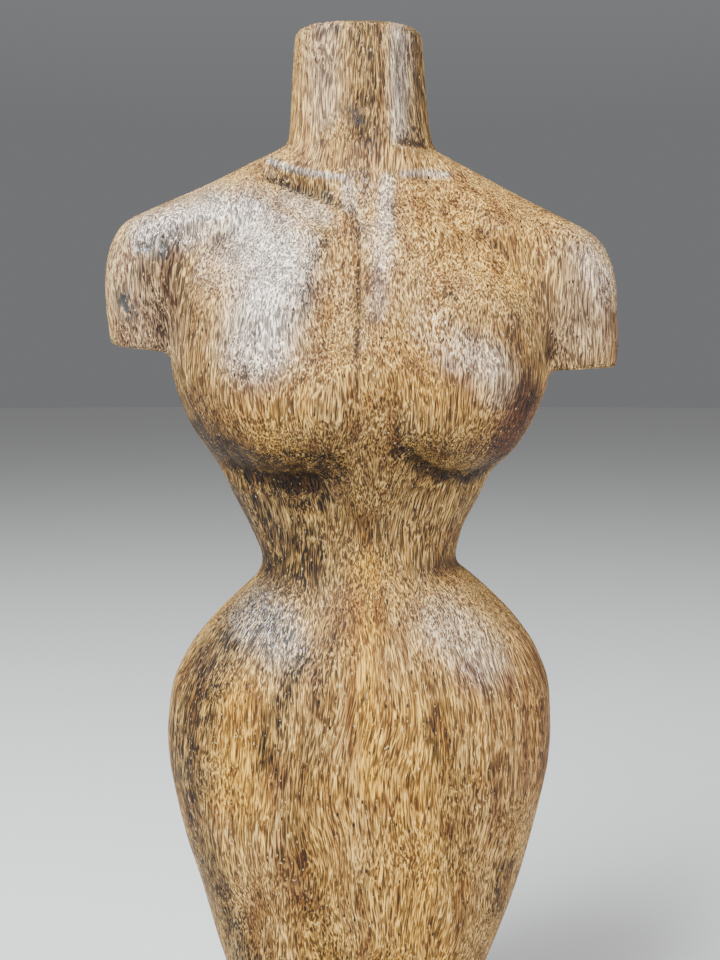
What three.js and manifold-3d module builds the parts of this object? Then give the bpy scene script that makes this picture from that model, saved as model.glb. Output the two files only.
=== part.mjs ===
// A small wooden display mannequin: a headless female torso carved from one log, with a plain
// flat-topped neck, short cut-off arms, a very narrow waist and full hips that taper to a sawn
// foot. The foot is dowelled and screwed to a plain wooden plinth on four felt pads.
//
// Millimetres. +Z is up, the figure faces -Y, and its left-hand side as seen from the front is -X.
// The origin is on the floor, under the middle of the plinth.

import * as THREE from 'three';
import { mergeVertices } from 'three/addons/utils/BufferGeometryUtils.js';
import Module from 'manifold-3d';

const wasm = await Module();
wasm.setup();

// ---------------------------------------------------------------- driving dimensions

const PAD_THICKNESS = 2;
const PAD_RADIUS = 7;
const PAD_INSET = 13; // from each side of the plinth to the middle of a pad

const PLINTH_WIDTH = 120;
const PLINTH_DEPTH = 96;
const PLINTH_THICKNESS = 18;
const PLINTH_CORNER = 6;
const PLINTH_EASE = 1.5; // the rounding of the plinth's upper and lower edges

const FOOT_Z = PAD_THICKNESS + PLINTH_THICKNESS; // the sawn foot stands on the plinth's top
const NECK_TOP_Z = 350;

const CLEARANCE = 0.3; // between a hole and what it holds
const ROUND_SIDES = 24; // of a drilled hole, a dowel or a pad

const DOWEL_RADIUS = 4;
const DOWEL_LENGTH = 28;
const DOWEL_SPACING = 36; // side to side, centre to centre
const DOWEL_IN_PLINTH = 12;
const DOWEL_EASE = 1; // the chamfer round each end

const SCREW_SPACING = 20; // front to back, centre to centre
const SCREW_SHANK_RADIUS = 2.4;
const SCREW_CORE_RADIUS = 1.7;
const SCREW_HEAD_RADIUS = 4.8;
const SCREW_HEAD_HEIGHT = 3;
const SCREW_HEAD_SUNK = 1;
const SCREW_LENGTH = 50;
const SCREW_PLAIN_LENGTH = 20; // the unthreaded neck under the head
const SCREW_TIP_LENGTH = 5;
const THREAD_PITCH = 3.6;
const RECESS = { long: 5, wide: 1.2, deep: 1.8 }; // the cross in the head
const SCREW_SIDES = 12;

// The log's cross-section at each height: how far it reaches to the left, right, front and back of
// the upright middle line, and how square it is (2 is an ellipse).
const LOG_SECTIONS = [
  { z: FOOT_Z, left: 28.5, right: 27.5, front: 24, back: 24, square: 2.4 },
  { z: 36, left: 36, right: 34.5, front: 29, back: 29, square: 2.4 },
  { z: 54, left: 44, right: 42, front: 34, back: 34, square: 2.35 },
  { z: 78, left: 51, right: 51, front: 38.5, back: 39.5, square: 2.3 },
  { z: 103, left: 58.2, right: 57.8, front: 41.5, back: 44, square: 2.3 },
  { z: 127, left: 62, right: 62, front: 42, back: 46, square: 2.3 }, // the fullest hip
  { z: 143, left: 60.5, right: 61.5, front: 40.5, back: 45, square: 2.25 },
  { z: 155, left: 55.3, right: 57.5, front: 37.3, back: 42, square: 2.2 },
  { z: 166, left: 46.7, right: 50, front: 33.3, back: 37, square: 2.15 },
  { z: 174, left: 38.6, right: 42.2, front: 30.2, back: 31, square: 2.1 },
  { z: 180, left: 32.5, right: 35.4, front: 28.1, back: 26.5, square: 2.1 },
  { z: 184, left: 31, right: 31, front: 27, back: 24, square: 2.1 }, // the waist
  { z: 194, left: 34.5, right: 33, front: 25.8, back: 23.5, square: 2.15 },
  { z: 203, left: 39, right: 37.5, front: 26.3, back: 24.5, square: 2.2 },
  { z: 212, left: 43.5, right: 42, front: 28, back: 26.5, square: 2.25 },
  { z: 220, left: 48.3, right: 49.5, front: 31, back: 28.5, square: 2.3 },
  { z: 229, left: 54, right: 55, front: 34.5, back: 30.5, square: 2.4 },
  { z: 244, left: 59, right: 60.2, front: 36.5, back: 33, square: 2.6 },
  { z: 262, left: 60.5, right: 61, front: 35.5, back: 35, square: 2.6 }, // under the arms
  { z: 280, left: 54, right: 53, front: 32, back: 34, square: 2.25 },
  { z: 293, left: 42, right: 40, front: 27.5, back: 30, square: 2.1 },
  { z: 303, left: 33, right: 32, front: 22.5, back: 26, square: 2.1 },
  { z: 311, left: 25, right: 25, front: 20, back: 22.5, square: 2.1 },
  { z: 318, left: 22, right: 22.5, front: 19, back: 20.5, square: 2.1 }, // the neck's root
  { z: 334, left: 21, right: 20.7, front: 18.3, back: 19, square: 2.1 },
  { z: NECK_TOP_Z - 2, left: 20, right: 19.6, front: 17.8, back: 18.2, square: 2.1 },
  { z: NECK_TOP_Z, left: 18.8, right: 18.2, front: 16.5, back: 16.9, square: 2.1 },
];
const LOG_SIDES = 56;
const LOG_FRONT_CROWDING = 0.35; // the sides are this much finer in front, and coarser behind
const LOG_RINGS_PER_SECTION = 3;

// The breasts swell out of the log's front: low mounds, full below and drawn out above, with a
// fainter one that bridges the hollow between them. A rim under 1 makes the edge of a mound steep
// and its face broad.
const SWELLS = [
  { x: -24, z: 232.5, wide: 32, below: 21, above: 63, square: 2.3, proud: 11.5, rim: 0.6 },
  { x: 32, z: 231, wide: 27, below: 20.5, above: 63, square: 2.1, proud: 11.5, rim: 0.6 },
  { x: 4, z: 244, wide: 27, below: 46, above: 50, square: 2, proud: 8.5, rim: 1 },
];
const SWELL_RISE = 1.25; // over 1 the long slope above is a little hollow

// The shoulders and the sawn-off arms are one yoke across the log, given by its sections from the
// saw cuts under the arms up to the neck's root.
const YOKE_SECTIONS = [
  { z: 251.5, out: 79.5, deep: 18.5, square: 3 },
  { z: 262, out: 80.8, deep: 20.5, square: 3 },
  { z: 272, out: 81.1, deep: 22.5, square: 2.9 },
  { z: 280, out: 80.2, deep: 24, square: 2.7 },
  { z: 286, out: 78.2, deep: 24.5, square: 2.5 },
  { z: 291, out: 74.6, deep: 24.5, square: 2.4 },
  { z: 295, out: 67.5, deep: 24, square: 2.3 },
  { z: 300, out: 56.5, deep: 23, square: 2.2 },
  { z: 305, out: 45.6, deep: 21.5, square: 2.1 },
  { z: 310, out: 35, deep: 19.5, square: 2.1 },
  { z: 316, out: 21.5, deep: 17.5, square: 2 },
];
const YOKE_SHIFT = 0.7; // the yoke's middle is this far towards +X from the log's
const YOKE_BACKSET = 1.5; // and this far behind it
const YOKE_SIDES = 40;
const YOKE_RINGS_PER_SECTION = 2;
const SAW_TILT = 0.12; // the arms lean out a little, so their square cuts rise outwards
const ARM_MIDDLE = 70;
const RIGHT_SHOULDER_DROP = 2.9; // seen from the front, the right shoulder is carved lower
const RIGHT_ARM_EXTRA = 3.6; // and the right arm is sawn off lower still

// ---------------------------------------------------------------- helpers

// A smooth curve through the rows' values that never swings past them.
function through(rows, key, value) {
  const x = rows.map((row) => row[key]);
  const y = rows.map((row) => row[value]);
  const slope = x.slice(1).map((end, i) => (y[i + 1] - y[i]) / (end - x[i]));
  const tangent = y.map((_, i) => {
    const before = slope[Math.max(i - 1, 0)];
    const after = slope[Math.min(i, slope.length - 1)];
    return before * after <= 0 ? 0 : (2 * before * after) / (before + after);
  });
  return (at) => {
    let i = 0;
    while (i < slope.length - 1 && at > x[i + 1]) i += 1;
    const span = x[i + 1] - x[i];
    const t = (at - x[i]) / span;
    const rise = t * t * (3 - 2 * t);
    const leave = t * (1 - t) * (1 - t) * span * tangent[i];
    const arrive = t * t * (1 - t) * span * tangent[i + 1];
    return y[i] * (1 - rise) + y[i + 1] * rise + leave - arrive;
  };
}

// A point of the closed curve |u|^n + |v|^n = 1 in the direction of an angle.
function roundedSquare(angle, squareness) {
  const u = Math.cos(angle);
  const v = Math.sin(angle);
  const reach = (Math.abs(u) ** squareness + Math.abs(v) ** squareness) ** (-1 / squareness);
  return [u * reach, v * reach];
}

// A closed cylinder whose points are moved to where place(angle, level, share) says. share is 1 on
// the wall and 0 in the middle of an end, and level counts the rings up from 0.
function drum(sides, rings, place) {
  const geometry = new THREE.CylinderGeometry(1, 1, rings, sides, rings);
  const points = geometry.attributes.position;
  for (let i = 0; i < points.count; i += 1) {
    const share = Math.hypot(points.getX(i), points.getZ(i));
    const angle = Math.atan2(-points.getZ(i), points.getX(i));
    const level = Math.round(points.getY(i) + rings / 2);
    points.setXYZ(i, ...place(angle, level, share > 0.5 ? 1 : 0));
  }
  return geometry;
}

function toSolid(geometry) {
  const bare = geometry.clone();
  bare.deleteAttribute('normal');
  bare.deleteAttribute('uv');
  const merged = mergeVertices(bare, 1e-4);
  return new wasm.Manifold(new wasm.Mesh({
    numProp: 3,
    vertProperties: new Float32Array(merged.attributes.position.array),
    triVerts: new Uint32Array(merged.index.array),
  }));
}

function toGeometry(solid) {
  const { vertProperties, triVerts } = solid.getMesh();
  const geometry = new THREE.BufferGeometry();
  geometry.setAttribute('position', new THREE.BufferAttribute(vertProperties, 3));
  geometry.setIndex(new THREE.BufferAttribute(triVerts, 1));
  geometry.computeVertexNormals();
  return geometry;
}

// A turned shape: [radius, height] points from the axis round to the axis, stood up along Z.
function turned(profile, sides) {
  const points = profile.map(([radius, height]) => new THREE.Vector2(radius, height));
  return new THREE.LatheGeometry(points, sides).rotateX(Math.PI / 2);
}

function rod(radius, from, to, sides) {
  return turned([[0, from], [radius, from], [radius, to], [0, to]], sides);
}

const object = new THREE.Group();

function addPart(name, geometry, look) {
  const part = new THREE.Mesh(geometry, new THREE.MeshStandardMaterial(look));
  part.name = name;
  object.add(part);
  return part;
}

// ---------------------------------------------------------------- the carved figure

// The levels of a row of sections, with each stretch between two of them split evenly.
function levels(sections, perSection) {
  const heights = sections.slice(1).flatMap((section, i) => {
    const from = sections[i].z;
    return Array.from({ length: perSection }, (_, step) => (
      from + ((section.z - from) * step) / perSection
    ));
  });
  return [...heights, sections[sections.length - 1].z];
}

function breastSwell(x, z) {
  return Math.max(...SWELLS.map((swell) => {
    const across = (Math.abs(x - swell.x) / swell.wide) ** swell.square;
    const down = Math.max((swell.z - z) / swell.below, 0) ** swell.square;
    const up = Math.max((z - swell.z) / swell.above, 0);
    const face = Math.max(1 - across - down, 0) ** swell.rim;
    return swell.proud * face * Math.max(1 - up, 0) ** SWELL_RISE;
  }));
}

function logGeometry() {
  const [left, right, front, back, square] = ['left', 'right', 'front', 'back', 'square']
    .map((value) => through(LOG_SECTIONS, 'z', value));
  const heights = levels(LOG_SECTIONS, LOG_RINGS_PER_SECTION);
  return drum(LOG_SIDES, heights.length - 1, (angle, level, share) => {
    const z = heights[level];
    const crowded = angle - LOG_FRONT_CROWDING * Math.cos(angle);
    const [u, v] = roundedSquare(crowded, square(z));
    const x = share * u * (u < 0 ? left(z) : right(z));
    const y = share * v * (v < 0 ? front(z) : back(z));
    const swell = breastSwell(x, z) * Math.max(-v, 0);
    return [x, y - share * swell, z];
  });
}

function yokeGeometry() {
  const [out, deep, square] = ['out', 'deep', 'square']
    .map((value) => through(YOKE_SECTIONS, 'z', value));
  const heights = levels(YOKE_SECTIONS, YOKE_RINGS_PER_SECTION);
  const top = heights.length - 1;
  return drum(YOKE_SIDES, top, (angle, level, share) => {
    const z = heights[level];
    const [u, v] = roundedSquare(angle, square(z));
    const x = YOKE_SHIFT + share * u * out(z);
    const low = 1 - level / top;
    const tilt = SAW_TILT * (Math.abs(x) - ARM_MIDDLE) * low;
    const reach = Math.max(x, 0) / ARM_MIDDLE;
    const sink = RIGHT_SHOULDER_DROP * Math.sqrt(reach) + RIGHT_ARM_EXTRA * low * reach;
    return [x, YOKE_BACKSET + share * v * deep(z), z + tilt - sink];
  });
}

const dowelPlaces = [-1, 1].map((side) => [(side * DOWEL_SPACING) / 2, 0]);
const screwPlaces = [-1, 1].map((side) => [0, (side * SCREW_SPACING) / 2]);
const dowelBottom = FOOT_Z - DOWEL_IN_PLINTH;
const screwHeadZ = PAD_THICKNESS + SCREW_HEAD_SUNK;

function dowelHole([x, y]) {
  const hole = rod(
    DOWEL_RADIUS + CLEARANCE,
    dowelBottom - CLEARANCE,
    dowelBottom + DOWEL_LENGTH + CLEARANCE,
    ROUND_SIDES,
  );
  return toSolid(hole.translate(x, y, 0));
}

function screwHole([x, y]) {
  const shank = SCREW_SHANK_RADIUS + CLEARANCE;
  const head = SCREW_HEAD_RADIUS + CLEARANCE;
  const seat = screwHeadZ + CLEARANCE;
  const hole = turned([
    [0, 0],
    [head, 0],
    [head, seat],
    [shank, seat + SCREW_HEAD_HEIGHT],
    [shank, screwHeadZ + SCREW_LENGTH + CLEARANCE],
    [0, screwHeadZ + SCREW_LENGTH + CLEARANCE],
  ], ROUND_SIDES);
  return toSolid(hole.translate(x, y, 0));
}

const holes = [...dowelPlaces.map(dowelHole), ...screwPlaces.map(screwHole)];

function drilled(solid) {
  return holes.reduce((rest, hole) => rest.subtract(hole), solid);
}

const figure = toSolid(logGeometry()).add(toSolid(yokeGeometry()));

const CARVED_WOOD = { color: 0x9c7850, roughness: 0.5, metalness: 0 };
addPart('torso', toGeometry(drilled(figure)), CARVED_WOOD);

// ---------------------------------------------------------------- the plinth

function plinthOutline(shrink) {
  const w = PLINTH_WIDTH / 2 - shrink;
  const d = PLINTH_DEPTH / 2 - shrink;
  const r = PLINTH_CORNER - shrink;
  const outline = new THREE.Shape();
  outline.absarc(w - r, d - r, r, 0, Math.PI / 2);
  outline.absarc(r - w, d - r, r, Math.PI / 2, Math.PI);
  outline.absarc(r - w, r - d, r, Math.PI, Math.PI * 1.5);
  outline.absarc(w - r, r - d, r, Math.PI * 1.5, Math.PI * 2);
  return outline;
}

const board = new THREE.ExtrudeGeometry(plinthOutline(PLINTH_EASE), {
  depth: PLINTH_THICKNESS - 2 * PLINTH_EASE,
  bevelThickness: PLINTH_EASE,
  bevelSize: PLINTH_EASE,
  bevelSegments: 2,
  curveSegments: 6,
}).translate(0, 0, PAD_THICKNESS + PLINTH_EASE);
addPart('plinth', toGeometry(drilled(toSolid(board))), { ...CARVED_WOOD, color: 0x8a6644 });

// ---------------------------------------------------------------- dowels, screws and pads

dowelPlaces.forEach(([x, y], i) => {
  const top = dowelBottom + DOWEL_LENGTH;
  const tip = DOWEL_RADIUS - DOWEL_EASE;
  const geometry = turned([
    [0, dowelBottom],
    [tip, dowelBottom],
    [DOWEL_RADIUS, dowelBottom + DOWEL_EASE],
    [DOWEL_RADIUS, top - DOWEL_EASE],
    [tip, top],
    [0, top],
  ], ROUND_SIDES);
  const dowel = addPart(`torso_dowel_${i + 1}`, geometry, { color: 0xc9a877, roughness: 0.7 });
  dowel.position.set(x, y, 0);
});

// The thread is a row of rings: each has a flat root and a slope up to its crest.
function screwGeometry() {
  const threadStart = SCREW_HEAD_HEIGHT + SCREW_PLAIN_LENGTH;
  const tipStart = SCREW_LENGTH - SCREW_TIP_LENGTH;
  const profile = [
    [0, 0],
    [SCREW_HEAD_RADIUS, 0],
    [SCREW_SHANK_RADIUS, SCREW_HEAD_HEIGHT],
    [SCREW_SHANK_RADIUS, threadStart],
  ];
  for (let z = threadStart; z + THREAD_PITCH < tipStart; z += THREAD_PITCH) {
    profile.push([SCREW_CORE_RADIUS, z + THREAD_PITCH * 0.2]);
    profile.push([SCREW_CORE_RADIUS, z + THREAD_PITCH * 0.7]);
    profile.push([SCREW_SHANK_RADIUS, z + THREAD_PITCH]);
  }
  profile.push([SCREW_CORE_RADIUS, tipStart], [0, SCREW_LENGTH]);
  const slot = new THREE.BoxGeometry(RECESS.long, RECESS.wide, 2 * RECESS.deep);
  const cross = toSolid(slot).add(toSolid(slot.clone().rotateZ(Math.PI / 2)));
  return toGeometry(toSolid(turned(profile, SCREW_SIDES)).subtract(cross));
}

screwPlaces.forEach(([x, y], i) => {
  const screw = addPart(`torso_screw_${i + 1}`, screwGeometry(), {
    color: 0xb8ad90,
    roughness: 0.35,
    metalness: 0.9,
  });
  screw.position.set(x, y, screwHeadZ);
});

const padX = PLINTH_WIDTH / 2 - PAD_INSET;
const padY = PLINTH_DEPTH / 2 - PAD_INSET;
[[-padX, -padY], [padX, -padY], [padX, padY], [-padX, padY]].forEach(([x, y], i) => {
  const pad = addPart(`felt_pad_${i + 1}`, rod(PAD_RADIUS, 0, PAD_THICKNESS, ROUND_SIDES), {
    color: 0x3d3a36,
    roughness: 0.95,
  });
  pad.position.set(x, y, 0);
});

export default object;
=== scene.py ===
import math

import bmesh
import bpy
import numpy as np
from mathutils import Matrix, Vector, noise


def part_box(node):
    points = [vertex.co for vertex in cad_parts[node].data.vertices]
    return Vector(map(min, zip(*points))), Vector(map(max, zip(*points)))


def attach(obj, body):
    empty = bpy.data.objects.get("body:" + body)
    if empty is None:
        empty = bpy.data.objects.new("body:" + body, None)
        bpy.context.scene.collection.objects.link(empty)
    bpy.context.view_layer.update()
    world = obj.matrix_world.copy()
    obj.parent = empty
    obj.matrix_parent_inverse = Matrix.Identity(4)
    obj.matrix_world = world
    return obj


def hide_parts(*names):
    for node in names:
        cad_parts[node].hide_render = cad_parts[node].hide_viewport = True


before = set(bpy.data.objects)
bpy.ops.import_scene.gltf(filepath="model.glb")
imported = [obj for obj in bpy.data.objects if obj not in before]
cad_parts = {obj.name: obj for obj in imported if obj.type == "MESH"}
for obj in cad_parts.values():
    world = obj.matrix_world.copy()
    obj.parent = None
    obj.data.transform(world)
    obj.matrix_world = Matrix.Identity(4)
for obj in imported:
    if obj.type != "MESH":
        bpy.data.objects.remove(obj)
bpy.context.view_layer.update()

# A small carved wooden mannequin torso. Metres, +Z up, and the figure faces -Y, so its right side is at
# -X. Places on the carving are written in millimetres, as they are measured on the figure, and MM turns
# them into metres. A place on its front is (x, z).
MM = 0.001

FIGURE_LOW, FIGURE_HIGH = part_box("torso")
NECK_TOP = FIGURE_HIGH[2] / MM
FOOT = FIGURE_LOW[2] / MM
WAIST = 186.0
WAIST_SQUEEZE = 0.26  # the fibres draw together at the waist by this share
NECK_SQUEEZE = 0.22  # and by this share in the neck
ARM_FLARE = 1.5  # the left arm spreads by this much at its saw cut
BACK_HEARTWOOD = 0.6  # how dark the heartwood bands on the sides and back are

HOLE_TOP = 60.0  # the holes in the foot end below this height
DOWEL_SPACING = 36.0
DOWEL_REACH = 6.0  # a dowel hole and its rim, from its axis
SCREW_SPACING = 20.0
SCREW_REACH = 7.0

PLANE_WIDTH = 12.0  # one stroke of the plane on the plinth
PLANE_DEPTH = 0.16  # how hollow the stroke leaves the board

# ---------------------------------------------------------------- arrays of points


def smoothstep(low, high, value):
    t = np.clip((value - low) / (high - low), 0.0, 1.0)
    return t * t * (3.0 - 2.0 * t)


def window(value, start, end, soft):
    """1 between start and end, falling to 0 over soft on either side."""
    return smoothstep(start - soft, start, value) * (1.0 - smoothstep(end, end + soft, value))


def read_points(mesh):
    points = np.empty(len(mesh.vertices) * 3)
    mesh.vertices.foreach_get("co", points)
    return points.reshape(-1, 3) / MM


def read_normals(mesh):
    normals = np.empty(len(mesh.vertices) * 3)
    mesh.vertices.foreach_get("normal", normals)
    return normals.reshape(-1, 3)


def write_points(mesh, points):
    mesh.vertices.foreach_set("co", (points * MM).ravel())
    mesh.update()


def neighbour_mean(mesh):
    """A function that gives the mean of each point's neighbours."""
    edges = np.empty(len(mesh.edges) * 2, dtype=np.int64)
    mesh.edges.foreach_get("vertices", edges)
    a, b = edges.reshape(-1, 2).T
    count = len(mesh.vertices)
    shares = np.bincount(a, minlength=count) + np.bincount(b, minlength=count)

    def total(column):
        return np.bincount(a, column[b], count) + np.bincount(b, column[a], count)

    def mean(points):
        return np.stack([total(column) for column in points.T], axis=1) / shares[:, None]

    return mean


def relax(mesh, amount, passes, swell=-0.61):
    """Evens out a dense mesh. Each pass smooths, then swells back as much unless told not to."""
    points = read_points(mesh)
    mean = neighbour_mean(mesh)
    for _ in range(passes):
        for step in (0.6, swell):
            points = points + step * amount[:, None] * (mean(points) - points)
    write_points(mesh, points)


def hollows(mesh, passes=24):
    """How deep each point lies in a hollow, in millimetres, against the mesh smoothed out round it."""
    start = read_points(mesh)
    mean = neighbour_mean(mesh)
    smooth = start
    for _ in range(passes):
        smooth = mean(smooth)
    return ((smooth - start) * read_normals(mesh)).sum(axis=1)


def noise_at(points, scale, seed=0.0):
    """Smooth noise from -1 to 1. scale is the size of its lumps along X, Y and Z, in millimetres."""
    places = points / np.array(scale) + seed
    return np.array([noise.noise(Vector(place)) for place in places])


def add_attribute(mesh, name, values):
    attribute = mesh.attributes.new(name, "FLOAT", "POINT")
    attribute.data.foreach_set("value", values.astype(np.float32))


def add_grain(mesh, places):
    """Where each point lies in the log, in millimetres, with the fibres along the third axis."""
    grain = mesh.attributes.new("grain", "FLOAT_VECTOR", "POINT")
    grain.data.foreach_set("vector", places.astype(np.float32).ravel())


def line_distance(x, z, route):
    """Distance from each (x, z) to a bent line, positive above it, and how far along it from 0 to 1."""
    lengths = [math.dist(a, b) for a, b in zip(route, route[1:])]
    best = np.full(len(x), np.inf)
    along = np.zeros(len(x))
    side = np.zeros(len(x))
    done = 0.0
    for (ax, az), (bx, bz), length in zip(route, route[1:], lengths):
        ux, uz = (bx - ax) / length, (bz - az) / length
        t = np.clip((x - ax) * ux + (z - az) * uz, 0.0, length)
        away = np.hypot(x - ax - t * ux, z - az - t * uz)
        nearer = away < best
        best = np.where(nearer, away, best)
        along = np.where(nearer, (done + t) / sum(lengths), along)
        side = np.where(nearer, np.sign((z - az) * ux - (x - ax) * uz), side)
        done += length
    return best * side, along


# ---------------------------------------------------------------- carving tools


def remeshed_copy(name, node, voxel):
    """A new piece with the node's shape, in an even mesh fine enough to carve."""
    piece = bpy.data.objects.new(name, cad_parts[node].data.copy())
    bpy.context.scene.collection.objects.link(piece)
    remesh = piece.modifiers.new("even", "REMESH")
    remesh.mode = "VOXEL"
    remesh.voxel_size = voxel * MM
    evaluated = piece.evaluated_get(bpy.context.evaluated_depsgraph_get())
    piece.data = bpy.data.meshes.new_from_object(evaluated)
    piece.modifiers.clear()
    piece.data.materials.clear()
    return piece


def split_faces(mesh, inside):
    """Splits each face whose corners all pass the test into four."""
    chosen = inside(read_points(mesh))
    bm = bmesh.new()
    bm.from_mesh(mesh)
    bm.verts.ensure_lookup_table()
    edges = {edge for face in bm.faces if all(chosen[v.index] for v in face.verts) for edge in face.edges}
    bmesh.ops.subdivide_edges(bm, edges=list(edges), cuts=1, use_grid_fill=True)
    bm.to_mesh(mesh)
    bm.free()


class Carving:
    """The points of a mesh while it is carved, with the normals that it had before."""

    def __init__(self, mesh):
        self.mesh = mesh
        self.points = read_points(mesh)
        self.start = self.points.copy()
        self.normals = read_normals(mesh)
        self.x, self.y, self.z = self.start.T
        self.front = smoothstep(0.0, 0.3, -self.normals[:, 1])

    def sink(self, depth):
        """Takes a depth of wood off along the normals."""
        self.points -= depth[:, None] * self.normals

    def pare(self, place, facing, reach, limit, soft=0.25, share=1.0):
        """Pares flat what stands in front of a plane, within reach of the place it goes through, but
        takes off no more than the limit."""
        facing = np.array(facing) / np.linalg.norm(facing)
        proud = (self.points - place) @ facing
        pared = 0.5 * (proud + np.sqrt(proud * proud + soft * soft)) - 0.5 * soft
        near = 1.0 - smoothstep(0.3 * reach, reach, np.linalg.norm(self.points - place, axis=1))
        outward = smoothstep(0.1, 0.4, self.normals @ facing)
        amount = np.where(proud > -2.0 * soft, np.clip(pared, 0.0, limit), 0.0) * near * outward * share
        self.points -= amount[:, None] * facing

    def groove(self, route, depth, above, below, ends=0.15):
        """A V groove along a line on the front, with straight sides of these two widths."""
        away, along = line_distance(self.x, self.z, route)
        side = 1.0 - np.where(away > 0, away / above, -away / below)
        taper = smoothstep(0.0, ends, along) * smoothstep(0.0, ends, 1.0 - along)
        self.sink(depth * np.clip(side, 0.0, 1.0) * taper * self.front)

    def dent(self, x, z, width, height, depth):
        away = np.hypot((self.x - x) / width, (self.z - z) / height) * 2.0
        self.sink(depth * np.clip(1.0 - away * away, 0.0, 1.0) * self.front)

    def finish(self):
        write_points(self.mesh, self.points)


# ---------------------------------------------------------------- the figure


# The knife flats round the neck: the angle from the front, the depth, and the two heights between which
# the flat runs out.
NECK_FLATS = (
    (-33, 0.9, 314, 324), (8, 0.7, 312, 322), (38, 1.1, 312.5, 313.2), (63, 0.8, 316, 322),
    (-68, 0.8, 318, 326), (100, 0.9, 320, 327), (138, 1.0, 316, 324), (176, 0.8, 314, 322),
    (-142, 0.9, 316, 324), (-105, 0.8, 320, 327),
)

# The rasp marks beside the breastbone: the place and the width of each.
RASP_MARKS = (
    (-14.2, 266.4, 4.0), (-16.5, 265.2, 6.0), (-13.8, 263.6, 5.0), (-17.0, 262.5, 4.5),
    (-15.2, 260.6, 6.5), (-18.3, 259.4, 4.0), (-14.6, 258.2, 5.0), (-17.2, 256.8, 6.0),
)


def carve_neck(cut):
    """Upright knife flats round the neck. One ends in a small step above the breastbone."""
    for angle, depth, low, high in NECK_FLATS:
        outward = np.array([math.sin(math.radians(angle)), -math.cos(math.radians(angle)), 0.0])
        band = (cut.z > 326.0) & (cut.z < 342.0)
        place = (np.max(cut.start[band] @ outward) - depth) * outward + np.array([0.0, 0.0, 332.0])
        runs_out = smoothstep(low, high, cut.z)
        cut.pare(place, outward + np.array([0.0, 0.0, 0.05]), 60.0, limit=1.6, share=runs_out)
    cut.dent(-1.5, 319.4, 3.0, 2.2, 0.6)
    cut.groove([(-1.8, 313.6), (0.2, 314.6), (2.0, 313.8)], 0.9, 0.7, 1.2, ends=0.3)
    cut.dent(-8.7, 347.4, 4.0, 2.0, 0.5)


def carve_collarbones(cut):
    """The right one is a steep cut face above a flat. The left one is a short notch."""
    route = [(-31.0, 307.0), (-26.0, 304.0), (-20.5, 301.0), (-15.0, 299.4), (-9.0, 296.6), (-3.6, 292.5)]
    above = np.interp(cut.x, [-28.0, -20.0, -12.0, -5.0], [4.4, 4.8, 5.4, 8.0])
    cut.groove(route, 3.4, above, below=9.5, ends=0.13)
    cut.groove([(27.0, 303.2), (20.0, 303.6), (14.0, 302.3), (10.5, 301.6)], 1.1, 4.0, 1.3, ends=0.3)


def carve_breastbone(cut):
    """A trough with a squared top below the neck. It narrows into the line between the breasts."""
    top = 302.4
    centre = -0.3
    left = np.interp(cut.z, [256, 270, 287, 291, 295], [16.5, 15.0, 10.5, 6.0, 3.4])
    right = np.interp(cut.z, [236, 258, 285], [3.0, 7.0, 10.3])
    across = np.where(cut.x < centre, (centre - cut.x) / left, (cut.x - centre) / right)
    depth = np.interp(cut.z, [234, 252, 270, 286, top - 6.0, top + 1.5], [0.0, 1.5, 2.5, 2.6, 1.6, 0.0])
    steepness = np.interp(cut.z, [290, 296], [1.0, 2.1])
    wall = np.clip((1.0 - across) * steepness, 0.0, 1.0)
    cut.sink(depth * wall * cut.front)
    cut.groove([(centre, 296.0), (centre, 260.0), (centre + 0.4, 238.0)], 0.5, 0.7, 0.7)


def carve_chest(cut):
    """The edges between the flats of the upper chest and shoulders, and a patch of rasp marks."""
    cut.groove([(-58.0, 283.0), (-48.0, 287.5), (-37.0, 291.5)], 0.7, above=4.0, below=8.0, ends=0.4)
    cut.groove([(24.0, 296.0), (33.0, 282.0), (38.0, 266.0)], 0.7, above=12.0, below=12.0, ends=0.4)
    cut.groove([(22.0, 262.0), (30.0, 256.0), (40.0, 258.0)], 0.5, above=9.0, below=7.0, ends=0.4)
    for x, z, width in RASP_MARKS:
        cut.dent(x, z, width, height=1.7, depth=0.2)


def carve_arms(cut):
    """The creases between arms and chest, and the bruises on the right arm. The left arm spreads a
    little at its saw cut."""
    cut.groove([(-56.5, 284.0), (-57.6, 275.0), (-58.6, 262.0), (-58.0, 250.0)], 0.8, 3.5, 3.5, ends=0.2)
    cut.groove([(57.5, 247.0), (58.4, 256.0), (59.5, 266.0), (60.5, 278.0)], 0.4, 5.0, 5.0, ends=0.3)
    cut.dent(-65.9, 282.3, 4.5, 2.2, 0.7)
    cut.dent(-60.1, 283.1, 2.2, 5.0, 0.8)
    cut.dent(-72.3, 265.4, 4.5, 7.5, 0.6)
    for x, z in ((-66.0, 277.0), (-68.6, 269.0), (-65.4, 268.0), (-62.8, 279.0), (-62.6, 267.0)):
        cut.groove([(x, z), (x + 5.4, z - 15.0)], 0.6, 0.9, 0.9, ends=0.3)
    cut.dent(-45.0, 297.0, 4.0, 2.0, 0.4)
    spread = smoothstep(66.0, 78.0, cut.x) * (1.0 - smoothstep(247.0, 266.0, cut.z)) * (cut.z > 240.0)
    cut.points[:, 0] += ARM_FLARE * spread


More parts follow.
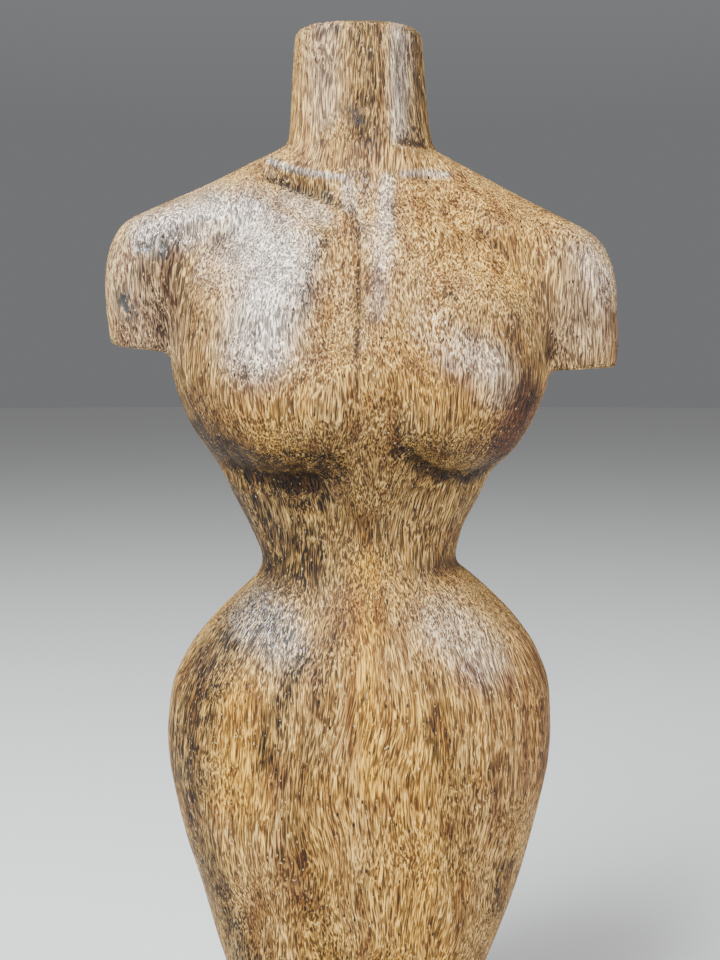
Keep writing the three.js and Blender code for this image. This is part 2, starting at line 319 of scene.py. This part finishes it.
def carve_creases(cut):
    """The folds under the breasts and over the hips."""
    right = [(-46.0, 220.0), (-39.0, 214.0), (-32.0, 211.0), (-23.0, 209.8), (-14.0, 210.3), (-9.0, 213.5)]
    left = [(11.0, 224.0), (17.0, 217.5), (24.0, 213.2), (34.0, 211.0), (42.0, 214.0), (48.0, 220.0)]
    cut.groove(right, 2.4, above=9.0, below=4.0, ends=0.2)
    cut.groove(left, 1.9, above=7.0, below=4.0, ends=0.25)
    cut.groove([(-33.0, 181.5), (-20.0, 178.0), (-10.0, 176.0)], 0.5, 6.0, 6.0, ends=0.4)
    cut.groove([(32.0, 182.0), (20.0, 178.5), (10.0, 177.0)], 0.5, 6.0, 6.0, ends=0.4)


def carve_back(cut):
    """A shallow channel down the spine and the hollows under the shoulder blades."""
    behind = smoothstep(0.1, 0.5, cut.normals[:, 1])
    channel = np.exp(-(cut.x / 7.0) ** 2) * window(cut.z, 120.0, 290.0, 30.0)
    cut.sink(1.8 * channel * behind)
    for side in (-1, 1):
        blade = np.hypot((cut.x - side * 30.0) / 24.0, (cut.z - 250.0) / 9.0)
        cut.sink(1.1 * np.exp(-blade * blade) * behind)


def tool_marks(cut, count, depth, reach, seed):
    """Small flats left by the knife and rasp, all over but near the two ends."""
    random = np.random.default_rng(seed)
    free = np.flatnonzero((cut.z > FOOT + 14.0) & (cut.z < NECK_TOP - 6.0))
    for index in random.choice(free, count, replace=False):
        near = np.linalg.norm(cut.start - cut.start[index], axis=1) < 5.0
        facing = cut.normals[near].mean(axis=0)
        facing /= np.linalg.norm(facing)
        here = cut.points[index] - depth * random.uniform(0.4, 1.0) * facing
        cut.pare(here, facing, reach, limit=1.2 * depth, soft=0.12, share=0.8)


def bored(points):
    """Which points are in or near the holes for the dowels and the screws."""
    x, y, z = points.T
    dowels = np.hypot(np.abs(x) - 0.5 * DOWEL_SPACING, y) < DOWEL_REACH
    screws = np.hypot(x, np.abs(y) - 0.5 * SCREW_SPACING) < SCREW_REACH
    return (dowels | screws) & (z < HOLE_TOP)


def rough_out(mesh):
    """Melts the facets of the blank, but keeps its bored holes, saw cuts and ends."""
    points = read_points(mesh)
    x, y, z = points.T
    amount = np.ones(len(points))
    amount[bored(points)] = 0.0
    amount *= 1.0 - 0.9 * window(z, FOOT - 1.0, FOOT + 1.0, 2.0)
    amount *= 1.0 - 0.85 * window(z, NECK_TOP - 4.0, NECK_TOP + 1.0, 3.0)
    amount *= 1.0 - 0.85 * (np.abs(x) > 61.0) * window(z, 240.0, 255.0, 4.0)
    relax(mesh, amount, 30)


def soften_armpits(mesh):
    """Rubs down the joint between the arms and the chest."""
    points = read_points(mesh)
    near = window(np.abs(points[:, 0]), 50.0, 62.0, 6.0) * window(points[:, 2], 256.0, 284.0, 6.0)
    relax(mesh, near, 40, swell=0.0)


def upper_chest(points):
    return (np.abs(points[:, 0]) < 34.0) & (points[:, 1] < -6.0) & (np.abs(points[:, 2] - 284.0) < 27.0)


def collarbone_area(points):
    return (np.abs(points[:, 0]) < 32.0) & (points[:, 1] < -8.0) & (np.abs(points[:, 2] - 299.5) < 9.5)


def right_arm(points):
    return (points[:, 0] < -55.0) & (points[:, 1] < 0.0) & (points[:, 2] > 248.0)


def make_torso():
    torso = remeshed_copy("carved_torso", "torso", 1.4)
    mesh = torso.data
    rough_out(mesh)
    soften_armpits(mesh)
    for area in (upper_chest, collarbone_area, right_arm):
        split_faces(mesh, area)
        relax(mesh, 1.0 * area(read_points(mesh)), 6)
    cut = Carving(mesh)
    carve_neck(cut)
    carve_chest(cut)
    carve_collarbones(cut)
    carve_breastbone(cut)
    carve_arms(cut)
    carve_creases(cut)
    carve_back(cut)
    tool_marks(cut, count=170, depth=0.28, reach=9.0, seed=5)
    cut.finish()
    tint_wood(cut)
    mesh.shade_smooth()
    return torso


# ---------------------------------------------------------------- colour of the wood

# A tint fades out to either side of its line. Polish ends more sharply, as it does at the edge of a flat.
TINT_EDGE = 2.6
POLISH_EDGE = 5.0

# Each tint lies along lines on the front: how strong it is, how wide, and the line. Some heartwood lines are
# painted shade in creases and recesses, and most lines of lighter, greyer wood are painted highlights.
TINTS = {
    "heart_and_shade": [
        (0.95, 7.8, [(-30, 173), (-37, 166), (-44, 158), (-50, 145), (-53, 131), (-53, 120)]),
        (0.8, 5.2, [(-53, 120), (-49, 98), (-42, 78), (-36, 62), (-30, 48)]),
        (0.9, 3.7, [(-16, 159), (-22.5, 150), (-25.6, 140), (-28, 129)]),
        (0.8, 9.0, [(-42, 172), (-26, 166)]),
        (0.4, 5.5, [(-8, 162), (-14.5, 137), (-18, 113), (-18, 98), (-14.5, 82), (-8, 64)]),
        (0.7, 1.6, [(20, 140), (22, 134), (25, 127)]),
        (0.6, 3.0, [(46, 92), (43, 84), (44, 74)]),
        (0.35, 5.0, [(24, 150), (30, 120), (30, 95)]),
        (0.95, 17.0, [(-38, 200), (-22, 186)]),
        (0.4, 30.0, [(-30, 200), (34, 200)]),
        (0.45, 10.0, [(33, 192), (18, 188)]),
        (0.35, 8.0, [(-10, 190), (-2, 200)]),
        # Painted shade under the breasts and in the folds beneath them.
        (1.0, 5.5, [(-44, 221), (-36, 216), (-24, 214), (-14, 214)]),
        (0.95, 8.5, [(-49, 226), (-36, 217), (-24, 214), (-10, 216)]),
        (0.85, 6.0, [(-28, 207), (-12, 205)]),
        (0.95, 3.4, [(12, 222), (18, 216.5), (25, 212.6), (34, 211), (43, 214.5)]),
        (0.5, 8.0, [(14, 226), (24, 219), (38, 217)]),
        (0.6, 7.5, [(42, 217), (48, 226), (52, 236)]),
        (0.3, 6.0, [(54, 238), (57, 250)]),
        # Painted shade under the outer side of the right breast, and between the breasts.
        (0.5, 10.0, [(-54, 240), (-42, 226)]),
        (0.35, 9.0, [(-8, 226), (3, 224)]),
        (0.6, 5.8, [(2, 348), (2.5, 316)]),
        # Painted shade on the left side of the neck.
        (0.7, 4.8, [(18, 348), (19, 316)]),
        # Painted shade in the breastbone trough and its groove, and in the recess and on the steep face below
        # the right collarbone's edge.
        (0.25, 4.0, [(1, 300), (0, 288)]),
        (0.5, 1.0, [(-0.3, 296), (-0.3, 240)]),
        (0.9, 1.8, [(-28, 305.2), (-20.5, 301.5), (-10.8, 298.2), (-6.5, 295.5)]),
        (0.5, 2.5, [(-27, 307), (-20, 303.5), (-10, 300.6)]),
        (0.6, 2.6, [(-11.5, 285), (-14, 275), (-16, 262)]),
        # Painted shade in the creases between the right arm and the chest.
        (0.5, 5.0, [(-62, 284), (-54, 270), (-50, 256)]),
        (0.5, 4.5, [(-64, 274), (-60, 256)]),
        # Painted shade in two small notches in the neck.
        (0.8, 1.4, [(-2.5, 319.5), (-0.5, 319.3)]),
        (0.8, 2.0, [(-10.5, 347.4), (-7, 347.4)]),
        (0.5, 1.0, [(24.5, 268), (28.5, 266)]),
        (0.4, 5.0, [(48, 262), (46, 250)]),
    ],
    "bruise": [
        (0.8, 2.0, [(-67, 282.5), (-64.5, 282)]),
        (0.9, 1.6, [(-60, 285), (-60.2, 280.5)]),
        (1.0, 2.9, [(-73.5, 268), (-71.5, 262.5)]),
        (0.6, 2.0, [(-47, 297.5), (-43.5, 296.5)]),
        (0.7, 2.2, [(-3, 323), (0.5, 320.5)]),
        (0.5, 2.0, [(-11.5, 334), (-11, 331)]),
    ],
    "gold": [
        (1.0, 5.5, [(2.5, 185), (2, 158), (4, 120)]),
        (1.0, 9.0, [(-36, 146), (-37, 116)]),
        (0.7, 14.0, [(14, 140), (18, 90), (16, 55)]),
        (0.6, 9.0, [(-12, 120), (-12, 60)]),
        (0.5, 12.0, [(-30, 226), (-28, 240)]),
        (0.6, 10.0, [(14, 246), (30, 240)]),
        (0.4, 16.0, [(28, 290), (50, 280)]),
    ],
    "red": [
        (0.9, 8.0, [(44, 221), (47, 227), (50, 235)]),
        (0.4, 12.0, [(54, 146), (55, 120)]),
        (0.5, 8.0, [(-70, 262), (-62, 258)]),
        (0.4, 9.0, [(-48, 232), (-40, 220)]),
    ],
    "wear_and_glare": [
        # Painted reflection along the left wall of the breastbone trough.
        (0.6, 2.4, [(8.4, 302), (8.4, 288)]),
        (0.35, 3.0, [(8.0, 290), (5, 262)]),
        (0.5, 2.0, [(-3.6, 302), (-3.0, 294)]),
        # Painted highlights on two flats of the neck.
        (0.6, 3.0, [(12, 347), (12.5, 316)]),
        (0.3, 5.5, [(-11, 347), (-10.5, 322)]),
        # Painted highlights on the top edges of both collarbones, and painted sheen on the flat below the
        # right one.
        (0.9, 0.9, [(-28, 309.6), (-21.6, 306.4), (-15, 304.4), (-7.5, 303.3), (-4.5, 302.8)]),
        (0.6, 1.2, [(13, 304), (20, 305), (27, 304.6)]),
        (0.5, 4.5, [(-22, 297), (-12, 292)]),
        # Painted glare and sheen on the right chest, the arms, the left breast, both hips and the right
        # shoulder.
        (0.85, 11.0, [(-33, 288), (-25, 276), (-30, 252)]),
        (0.3, 13.0, [(-70, 276), (-66, 256)]),
        (0.3, 13.0, [(72, 276), (70, 258)]),
        (0.35, 8.0, [(34, 249), (42, 241)]),
        (0.25, 9.0, [(26, 168), (38, 157)]),
        (0.8, 8.0, [(-64, 286), (-44, 293)]),
        (0.3, 9.0, [(-30, 168), (-24, 162)]),
    ],
    "polish": [
        (1.0, 10.0, [(-33, 292), (-21, 283), (-25, 266), (-30, 250)]),
        (0.9, 7.0, [(-44, 276), (-34, 276)]),
        (1.0, 9.0, [(-62, 286), (-44, 292)]),
        (0.8, 9.0, [(-33, 170), (-24, 164)]),
        (0.85, 8.0, [(26, 168), (38, 157)]),
        (0.9, 7.0, [(22, 257), (28, 250)]),
        (1.0, 6.0, [(38, 247), (40, 240)]),
        (1.0, 8.0, [(74, 282), (77, 270)]),
        (0.5, 6.0, [(0, 300), (8, 280)]),
        (0.5, 5.0, [(12, 345), (13, 320)]),
    ],
}


def back_bands(cut):
    """Long bands of heartwood up the sides and back."""
    bands = smoothstep(0.05, 0.45, noise_at(cut.points, (15.0, 15.0, 110.0), seed=4.0))
    return BACK_HEARTWOOD * bands * (1.0 - cut.front)


def log_places(points):
    """Where each point lies in the log, whose fibres draw together at the waist and in the neck."""
    height = points[:, 2]
    squeeze = WAIST_SQUEEZE * np.exp(-((height - WAIST) / 30.0) ** 2)
    squeeze += NECK_SQUEEZE * smoothstep(298.0, 325.0, height)
    across = 1.0 - squeeze
    return points / np.stack([across, across, np.ones(len(across))], axis=1)


def tint_wood(cut):
    """Marks the heartwood and the painted shade, the bruised, golden and reddish wood, the worn wood and
    painted highlights, the polish, and how deep each point lies in a hollow for painted shade, for the
    material to read."""
    for name, marks in TINTS.items():
        edge = POLISH_EDGE if name == "polish" else TINT_EDGE
        total = np.zeros(len(cut.points))
        for amount, width, route in marks:
            away, _ = line_distance(cut.x, cut.z, route)
            total = np.maximum(total, amount * np.exp(-np.abs(away / width) ** edge) * cut.front)
        if name == "heart_and_shade":
            total = np.maximum(total, back_bands(cut))
        add_attribute(cut.mesh, name, total)
    # How deep each point lies in a hollow, for painted shade in the hollows and creases.
    add_attribute(cut.mesh, "hollow_shade", hollows(cut.mesh))
    add_grain(cut.mesh, log_places(cut.points))


# ---------------------------------------------------------------- the plinth and its pads


def make_plinth():
    """A board planed by hand along its length, with worn and knocked edges. Its grain runs side to side."""
    plinth = remeshed_copy("planed_plinth", "plinth", 0.9)
    mesh = plinth.data
    free = 1.0 - bored(read_points(mesh))
    relax(mesh, free, 5)
    cut = Carving(mesh)
    strokes = (cut.y + 2.5 * np.sin(cut.x / 38.0)) / PLANE_WIDTH % 1.0
    flat = smoothstep(0.75, 0.95, np.abs(cut.normals[:, 2]))
    cut.sink(PLANE_DEPTH * (1.0 - (2.0 * strokes - 1.0) ** 2) * flat * free)
    edge = smoothstep(0.04, 0.26, 1.0 - np.abs(cut.normals).max(axis=1)) * free
    wear = noise_at(cut.start, (17.0, 17.0, 9.0)) + 0.5 * noise_at(cut.start, (5.0, 5.0, 4.0), seed=9.0)
    cut.sink(edge * np.clip(0.25 + 0.7 * wear, 0.0, 0.8))
    cut.finish()
    fields = {"heart_and_shade": 0.5 * np.exp(-((cut.y - 14.0 - 3.0 * np.sin(cut.x / 30.0)) / 9.0) ** 2),
              "wear_and_glare": 0.7 * edge, "polish": 0.5 * flat}
    for name in TINTS:
        add_attribute(mesh, name, fields.get(name, np.zeros(len(cut.points))))
    # How deep each point lies in a hollow, for painted shade in the board's hollows.
    add_attribute(mesh, "hollow_shade", hollows(mesh))
    add_grain(mesh, cut.points[:, ::-1])
    mesh.shade_smooth()
    return plinth


def make_pad(number):
    """A punched felt disc, pressed thinner towards its rim, with a ragged cut edge."""
    node = f"felt_pad_{number}"
    pad = remeshed_copy(f"felt_disc_{number}", node, 0.3)
    relax(pad.data, np.ones(len(pad.data.vertices)), 4)
    cut = Carving(pad.data)
    low, high = (np.array(corner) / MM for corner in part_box(node))
    middle = 0.5 * (low + high)
    away = np.hypot(cut.x - middle[0], cut.y - middle[1]) / (high[0] - middle[0])
    under = smoothstep(0.3, 0.8, -cut.normals[:, 2])
    side = 1.0 - smoothstep(0.2, 0.8, np.abs(cut.normals[:, 2]))
    rough = noise_at(cut.start, (0.8, 0.8, 0.5), seed=number)
    cut.sink(0.3 * smoothstep(0.7, 1.0, away) * under + (0.1 + 0.12 * rough) * side)
    cut.finish()
    pad.data.shade_smooth()
    return pad


def stand_in(piece, node):
    """Shows the piece in place of the node, and fixes it to the figure."""
    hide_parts(node)
    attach(piece, "root")


torso = make_torso()
plinth = make_plinth()
pads = [make_pad(number) for number in (1, 2, 3, 4)]
stand_in(torso, "torso")
stand_in(plinth, "plinth")
for number, pad in enumerate(pads, 1):
    stand_in(pad, f"felt_pad_{number}")

# ---------------------------------------------------------------- materials


class Nodes:
    """A material, with short ways to write its nodes."""

    def __init__(self, name):
        self.material = bpy.data.materials.new(name)
        self.material.use_nodes = True
        self.tree = self.material.node_tree
        self.shader = self.tree.nodes["Principled BSDF"]

    def add(self, kind, **settings):
        node = self.tree.nodes.new("ShaderNode" + kind)
        for name, value in settings.items():
            setattr(node, name, value)
        return node

    def put(self, socket, value):
        if isinstance(value, bpy.types.NodeSocket):
            self.tree.links.new(value, socket)
        else:
            socket.default_value = value

    def attribute(self, name, output="Fac"):
        return self.add("Attribute", attribute_name=name).outputs[output]

    def object_mm(self):
        """Places on the object, in millimetres."""
        return self.vector("SCALE", self.add("TexCoord").outputs["Object"], scale=1.0 / MM)

    def math(self, operation, *values):
        node = self.add("Math", operation=operation)
        for socket, value in zip(node.inputs, values):
            self.put(socket, value)
        return node.outputs[0]

    def vector(self, operation, *values, scale=None):
        node = self.add("VectorMath", operation=operation)
        for socket, value in zip(node.inputs, values):
            self.put(socket, value)
        if scale is not None:
            self.put(node.inputs["Scale"], scale)
        return node.outputs[0]

    def spread(self, value, low, high, start=0.0, end=1.0):
        node = self.add("MapRange", interpolation_type="SMOOTHSTEP")
        for socket, number in zip(node.inputs, (value, low, high, start, end)):
            self.put(socket, number)
        return node.outputs[0]

    def noise(self, places, lump, detail=0.0, output="Fac"):
        """Noise whose lumps are this many millimetres along X, Y and Z."""
        node = self.add("TexNoise")
        self.put(node.inputs["Vector"], self.vector("DIVIDE", places, lump))
        self.put(node.inputs["Scale"], 1.0)
        self.put(node.inputs["Detail"], detail)
        return node.outputs[output]

    def warp(self, places, lump, push, detail=0.0):
        """Pushes places about by this many millimetres each way, in lumps."""
        shift = self.vector("SUBTRACT", self.noise(places, lump, detail, "Color"), (0.5, 0.5, 0.5))
        return self.vector("MULTIPLY_ADD", shift, push, places)

    def ramp(self, value, *stops):
        node = self.add("ValToRGB")
        elements = node.color_ramp.elements
        for _ in stops[2:]:
            elements.new(0.5)
        for element, (place, colour) in zip(elements, stops):
            element.position = place
            element.color = (*colour, 1)
        self.put(node.inputs[0], value)
        return node.outputs[0]

    def mix(self, share, a, b, blend="MIX"):
        node = self.add("Mix", data_type="RGBA", blend_type=blend)
        colours = [(*colour, 1) if isinstance(colour, tuple) else colour for colour in (a, b)]
        for name, value in zip(("Factor_Float", "A_Color", "B_Color"), (share, *colours)):
            self.put(next(socket for socket in node.inputs if socket.identifier == name), value)
        return node.outputs[2]

    def fade(self, colour, share, saturation, value):
        node = self.add("HueSaturation")
        for name, number in (("Fac", share), ("Color", colour), ("Saturation", saturation), ("Value", value)):
            self.put(node.inputs[name], number)
        return node.outputs[0]

    def bump(self, height, depth, normal=None):
        """Bump of this many millimetres from low to high."""
        node = self.add("Bump")
        self.put(node.inputs["Height"], height)
        self.put(node.inputs["Distance"], depth * MM)
        if normal:
            self.put(node.inputs["Normal"], normal)
        return node.outputs[0]

    def finish(self, colour, roughness, normal, **shader_values):
        self.put(self.shader.inputs["Base Color"], colour)
        self.put(self.shader.inputs["Roughness"], roughness)
        self.put(self.shader.inputs["Normal"], normal)
        for name, value in shader_values.items():
            self.shader.inputs[name.replace("_", " ")].default_value = value
        return self.material


def cores(wood, log, width, length):
    """The pale cores of cords of fibre, as wide as this across the log and as long up it, with breaks."""
    cords = wood.noise(log, (2.6 * width, 2.6 * width, length))
    core = wood.spread(wood.math("ABSOLUTE", wood.math("SUBTRACT", cords, 0.5)), 0.16, 0.0)
    breaks = wood.noise(wood.vector("ADD", log, (37.0, 11.0, 5.0)), (2.0 * width, 2.0 * width, 0.4 * length))
    return wood.math("MULTIPLY", core, wood.spread(breaks, 0.36, 0.54))


def wavering(wood, straight):
    """Bends the straight fibres of the log, in long waves and short ones."""
    log = wood.warp(straight, (16.0, 16.0, 30.0), (7.0, 7.0, 0.0))
    return wood.warp(log, (3.0, 3.0, 11.0), (0.8, 0.8, 0.0))


def fibre_colour(wood, light, straight, log):
    """Dark brown between the cords and cream on them, in clouds and long streaks."""
    colour = wood.ramp(light, (0.0, (0.035, 0.015, 0.004)), (0.3, (0.125, 0.063, 0.016)),
                       (0.6, (0.31, 0.174, 0.048)), (1.0, (0.72, 0.48, 0.165)))
    cloud = wood.noise(straight, (7.0, 7.0, 18.0), detail=4.0)
    colour = wood.mix(wood.spread(cloud, 0.48, 0.66), colour, (0.55, 0.45, 0.36), "MULTIPLY")
    streaks = wood.noise(log, (3.2, 3.2, 70.0), detail=2.0)
    colour = wood.mix(wood.spread(streaks, 0.48, 0.7), colour, (0.66, 0.57, 0.48), "MULTIPLY")
    return wood.mix(wood.spread(streaks, 0.5, 0.3), colour, (1.1, 1.02, 0.75), "MULTIPLY")


def darken_heart_and_shade(wood, colour, strokes, log):
    """Darkens the wood in mottled bands of heartwood and of painted shade, less on the light-coloured cores.
    """
    mottle = wood.spread(wood.noise(log, (2.2, 2.2, 5.0), detail=3.0), 0.35, 0.6, 0.65, 1.45)
    heart_and_shade = wood.math("MULTIPLY", wood.attribute("heart_and_shade"), wood.math("MULTIPLY_ADD", strokes, -0.42, 1.0))
    heart_and_shade = wood.math("MINIMUM", wood.math("MULTIPLY", heart_and_shade, mottle), 1.0)
    return wood.mix(heart_and_shade, colour, (0.085, 0.065, 0.05), "MULTIPLY")


def stains_wear_and_painted_light(wood, colour, hollow_shade, straight):
    """Golden and reddish wood, painted shade in the hollows, worn wood and painted glare made lighter and
    greyer, and grey-black bruises.
    """
    for tint, tone in (("gold", (1.12, 1.0, 0.45)), ("red", (0.3, 0.1, 0.03))):
        colour = wood.mix(wood.attribute(tint), colour, tone, "MULTIPLY")
    # Painted shade: darkens the wood in the hollows and creases by how deep they are.
    colour = wood.mix(hollow_shade, colour, (0.25, 0.18, 0.12), "MULTIPLY")
    # Lighter, greyer wood: real wear on the plinth's edges, and painted glare, sheen and highlights on the
    # figure.
    colour = wood.fade(colour, wood.attribute("wear_and_glare"), saturation=0.4, value=1.25)
    smudge = wood.spread(wood.noise(straight, (2.0, 2.0, 2.0), detail=3.0), 0.4, 0.55)
    bruise = wood.math("MULTIPLY", wood.attribute("bruise"), smudge)
    return wood.mix(bruise, colour, (0.03, 0.031, 0.031))


def pores(wood, straight):
    """Small pits, longer up the log than across it."""
    holes = wood.add("TexVoronoi")
    wood.put(holes.inputs["Vector"], wood.vector("DIVIDE", straight, (2.8, 2.8, 6.5)))
    wood.put(holes.inputs["Scale"], 1.0)
    return wood.spread(holes.outputs["Distance"], 0.12, 0.08)


def wax(wood, hollow_shade, straight):
    """How much wax shines: a little in rubbed patches, more where polished, least in the hollows with painted
    shade and on red wood.
    """
    rubbed = wood.spread(wood.noise(straight, (9.0, 9.0, 12.0), detail=3.0), 0.42, 0.62)
    shine = wood.math("MAXIMUM", wood.math("MULTIPLY", rubbed, 0.15), wood.attribute("polish"))
    for dull in (hollow_shade, wood.attribute("red")):
        shine = wood.math("MULTIPLY", shine, wood.math("MULTIPLY_ADD", dull, -0.8, 1.0))
    return shine


def flecked_wood(name, stain=(1.0, 1.0, 1.0)):
    """Flecked, waxed wood. The flecks are thin cords of fibre that run up the log through its depth, so
    they show as long lines on upright faces and as short worms where the carving cuts across them. The
    wax lies on the pale cords, which stand proud."""
    wood = Nodes(name)
    straight = wood.attribute("grain", "Vector")
    log = wavering(wood, straight)
    strokes = wood.math("MAXIMUM", cores(wood, log, 0.33, 12.0), cores(wood, log, 0.22, 8.0))
    threads = wood.spread(wood.noise(log, (0.5, 0.5, 8.0), detail=2.0), 0.3, 0.7)
    light = wood.math("MULTIPLY_ADD", threads, 0.4, wood.math("MULTIPLY", strokes, 0.6))
    # How deep each point lies in a hollow, spread out for the painted shade.
    hollow_shade = wood.spread(wood.attribute("hollow_shade"), 0.08, 0.8, 0.0, 0.95)
    chips_and_glints = wood.spread(wood.noise(log, (0.6, 0.6, 1.3)), 0.75, 0.8)
    pits = pores(wood, straight)
    colour = fibre_colour(wood, light, straight, log)
    colour = darken_heart_and_shade(wood, colour, strokes, log)
    colour = stains_wear_and_painted_light(wood, colour, hollow_shade, straight)
    # Painted glints: light specks on the chips, put into the colour.
    colour = wood.mix(wood.math("MULTIPLY", chips_and_glints, 0.5), colour, (0.7, 0.52, 0.26))
    colour = wood.mix(pits, colour, (0.012, 0.008, 0.005))
    colour = wood.mix(1.0, colour, stain, "MULTIPLY")
    shine = wax(wood, hollow_shade, straight)
    roughness = wood.spread(wood.math("MULTIPLY_ADD", light, 0.3, shine), 0.0, 1.3, 0.65, 0.4)
    proud = wood.spread(light, 0.22, 0.6, 0.04, 1.0)
    wood.put(wood.shader.inputs["Coat Weight"], wood.math("MULTIPLY", shine, proud))
    normal = wood.bump(light, 0.18)
    normal = wood.bump(chips_and_glints, 0.2, normal)
    normal = wood.bump(pits, -0.5, normal)
    wood.put(wood.shader.inputs["Coat Normal"], normal)
    return wood.finish(colour, roughness, normal, Coat_Roughness=0.2, Coat_IOR=1.7, Specular_IOR_Level=0.2)


def dowel_wood():
    """Pale machined beech with short darker ray flecks along the grain."""
    wood = Nodes("dowel_wood")
    places = wood.object_mm()
    grain = wood.noise(places, (0.5, 0.5, 16.0), detail=3.0)
    colour = wood.ramp(grain, (0.3, (0.34, 0.2, 0.1)), (0.7, (0.6, 0.41, 0.23)))
    rays = wood.spread(wood.noise(places, (0.25, 0.25, 1.6)), 0.62, 0.7)
    colour = wood.mix(wood.math("MULTIPLY", rays, 0.7), colour, (0.26, 0.13, 0.06))
    roughness = wood.spread(grain, 0.3, 0.7, 0.68, 0.5)
    return wood.finish(colour, roughness, wood.bump(grain, 0.06))


def screw_steel():
    """Yellow-passivated steel, turned bright in fine rings and rubbed grey in places."""
    steel = Nodes("screw_steel")
    places = steel.object_mm()
    rings = steel.noise(places, (8.0, 8.0, 0.12), detail=2.0)
    film = steel.spread(steel.noise(places, (2.2, 2.2, 3.0), detail=4.0), 0.4, 0.62)
    colour = steel.mix(film, (0.5, 0.5, 0.49), (0.58, 0.47, 0.26))
    colour = steel.mix(steel.spread(rings, 0.55, 0.7), colour, (0.5, 0.47, 0.43), "MULTIPLY")
    roughness = steel.spread(rings, 0.3, 0.7, 0.24, 0.48)
    return steel.finish(colour, roughness, steel.bump(rings, 0.02), Metallic=1.0)


def felt():
    """Pressed wool: matted fibres in every direction, with pale ones on top and a little lint."""
    wool = Nodes("felt")
    places = wool.object_mm()
    tangle = wool.warp(places, (0.6, 0.6, 0.6), (1.4, 1.4, 1.4), detail=2.0)
    fibres = wool.math("MAXIMUM", wool.noise(tangle, (0.09, 0.9, 0.3), detail=1.0),
                       wool.noise(tangle, (0.9, 0.09, 0.3), detail=1.0))
    mottle = wool.noise(places, (2.5, 2.5, 2.5), detail=3.0)
    colour = wool.ramp(fibres, (0.42, (0.02, 0.016, 0.012)), (0.72, (0.105, 0.08, 0.058)))
    colour = wool.mix(wool.spread(mottle, 0.45, 0.65), colour, (0.65, 0.6, 0.55), "MULTIPLY")
    lint = wool.spread(wool.noise(tangle, (0.07, 0.5, 0.2)), 0.72, 0.78)
    colour = wool.mix(lint, colour, (0.3, 0.27, 0.22))
    return wool.finish(colour, wool.spread(mottle, 0.3, 0.7, 0.85, 1.0), wool.bump(fibres, 0.15),
                       Sheen_Weight=0.5, Sheen_Roughness=0.6, Specular_IOR_Level=0.15)


def floor_paint():
    """Plain matt pale grey."""
    material = bpy.data.materials.new("floor_paint")
    material.use_nodes = True
    shader = material.node_tree.nodes["Principled BSDF"]
    shader.inputs["Base Color"].default_value = (0.5, 0.495, 0.485, 1)
    shader.inputs["Roughness"].default_value = 0.85
    return material


torso.data.materials.append(flecked_wood("carved_wood"))
plinth.data.materials.append(flecked_wood("plinth_wood", stain=(0.5, 0.42, 0.36)))
pad_felt = felt()
for pad in pads:
    pad.data.materials.append(pad_felt)
for kind, material in (("dowel", dowel_wood()), ("screw", screw_steel())):
    for number in (1, 2):
        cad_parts[f"torso_{kind}_{number}"].material_slots[0].material = material

# ---------------------------------------------------------------- floor, light and camera


def make_floor():
    bm = bmesh.new()
    bmesh.ops.create_circle(bm, cap_ends=True, segments=96, radius=6.0)
    mesh = bpy.data.meshes.new("floor")
    bm.to_mesh(mesh)
    bm.free()
    floor = bpy.data.objects.new("floor", mesh)
    bpy.context.scene.collection.objects.link(floor)
    mesh.materials.append(floor_paint())


def make_softbox(name, place, aim, size, watts, colour):
    data = bpy.data.lights.new(name, "AREA")
    data.shape = "RECTANGLE"
    data.size, data.size_y = size
    data.energy = watts
    data.color = colour
    lamp = bpy.data.objects.new(name, data)
    bpy.context.scene.collection.objects.link(lamp)
    lamp.location = place
    lamp.rotation_euler = (Vector(aim) - Vector(place)).to_track_quat("-Z", "Y").to_euler()


def make_sky():
    """Even pale light all round that brightens overhead, as under a big diffuser."""
    world = bpy.data.worlds.new("studio")
    world.use_nodes = True
    tree = world.node_tree
    height = tree.nodes.new("ShaderNodeSeparateXYZ")
    tree.links.new(tree.nodes.new("ShaderNodeTexCoord").outputs["Generated"], height.inputs[0])
    strength = tree.nodes.new("ShaderNodeMapRange")
    tree.links.new(height.outputs["Z"], strength.inputs["Value"])
    strength.inputs["From Min"].default_value = 0.15
    strength.inputs["From Max"].default_value = 0.9
    strength.inputs["To Min"].default_value = 0.2
    strength.inputs["To Max"].default_value = 0.5
    background = tree.nodes["Background"]
    background.inputs["Color"].default_value = (0.87, 0.88, 0.9, 1)
    tree.links.new(strength.outputs[0], background.inputs["Strength"])
    bpy.context.scene.world = world


def make_camera():
    data = bpy.data.cameras.new("camera")
    data.sensor_fit = "VERTICAL"
    data.sensor_height = 36.0
    data.lens = 54.15
    camera = bpy.data.objects.new("camera", data)
    bpy.context.scene.collection.objects.link(camera)
    camera.location = (0.0003, -0.462, 0.251)
    camera.rotation_euler = (math.radians(90.0 - 5.14), 0.0, 0.0)
    bpy.context.scene.camera = camera


make_floor()
make_softbox("window", (-0.47, -0.67, 1.12), (0, 0, 0.24), (0.5, 0.9), 68.0, (0.92, 0.97, 1.0))
make_softbox("fill", (1.02, -0.42, 0.6), (0, 0, 0.2), (0.5, 0.6), 18.0, (0.97, 0.98, 1.0))
make_softbox("skylight", (-0.95, 0.05, 0.9), (0, 0, 0.24), (0.5, 0.5), 8.0, (0.92, 0.97, 1.0))
make_sky()
make_camera()
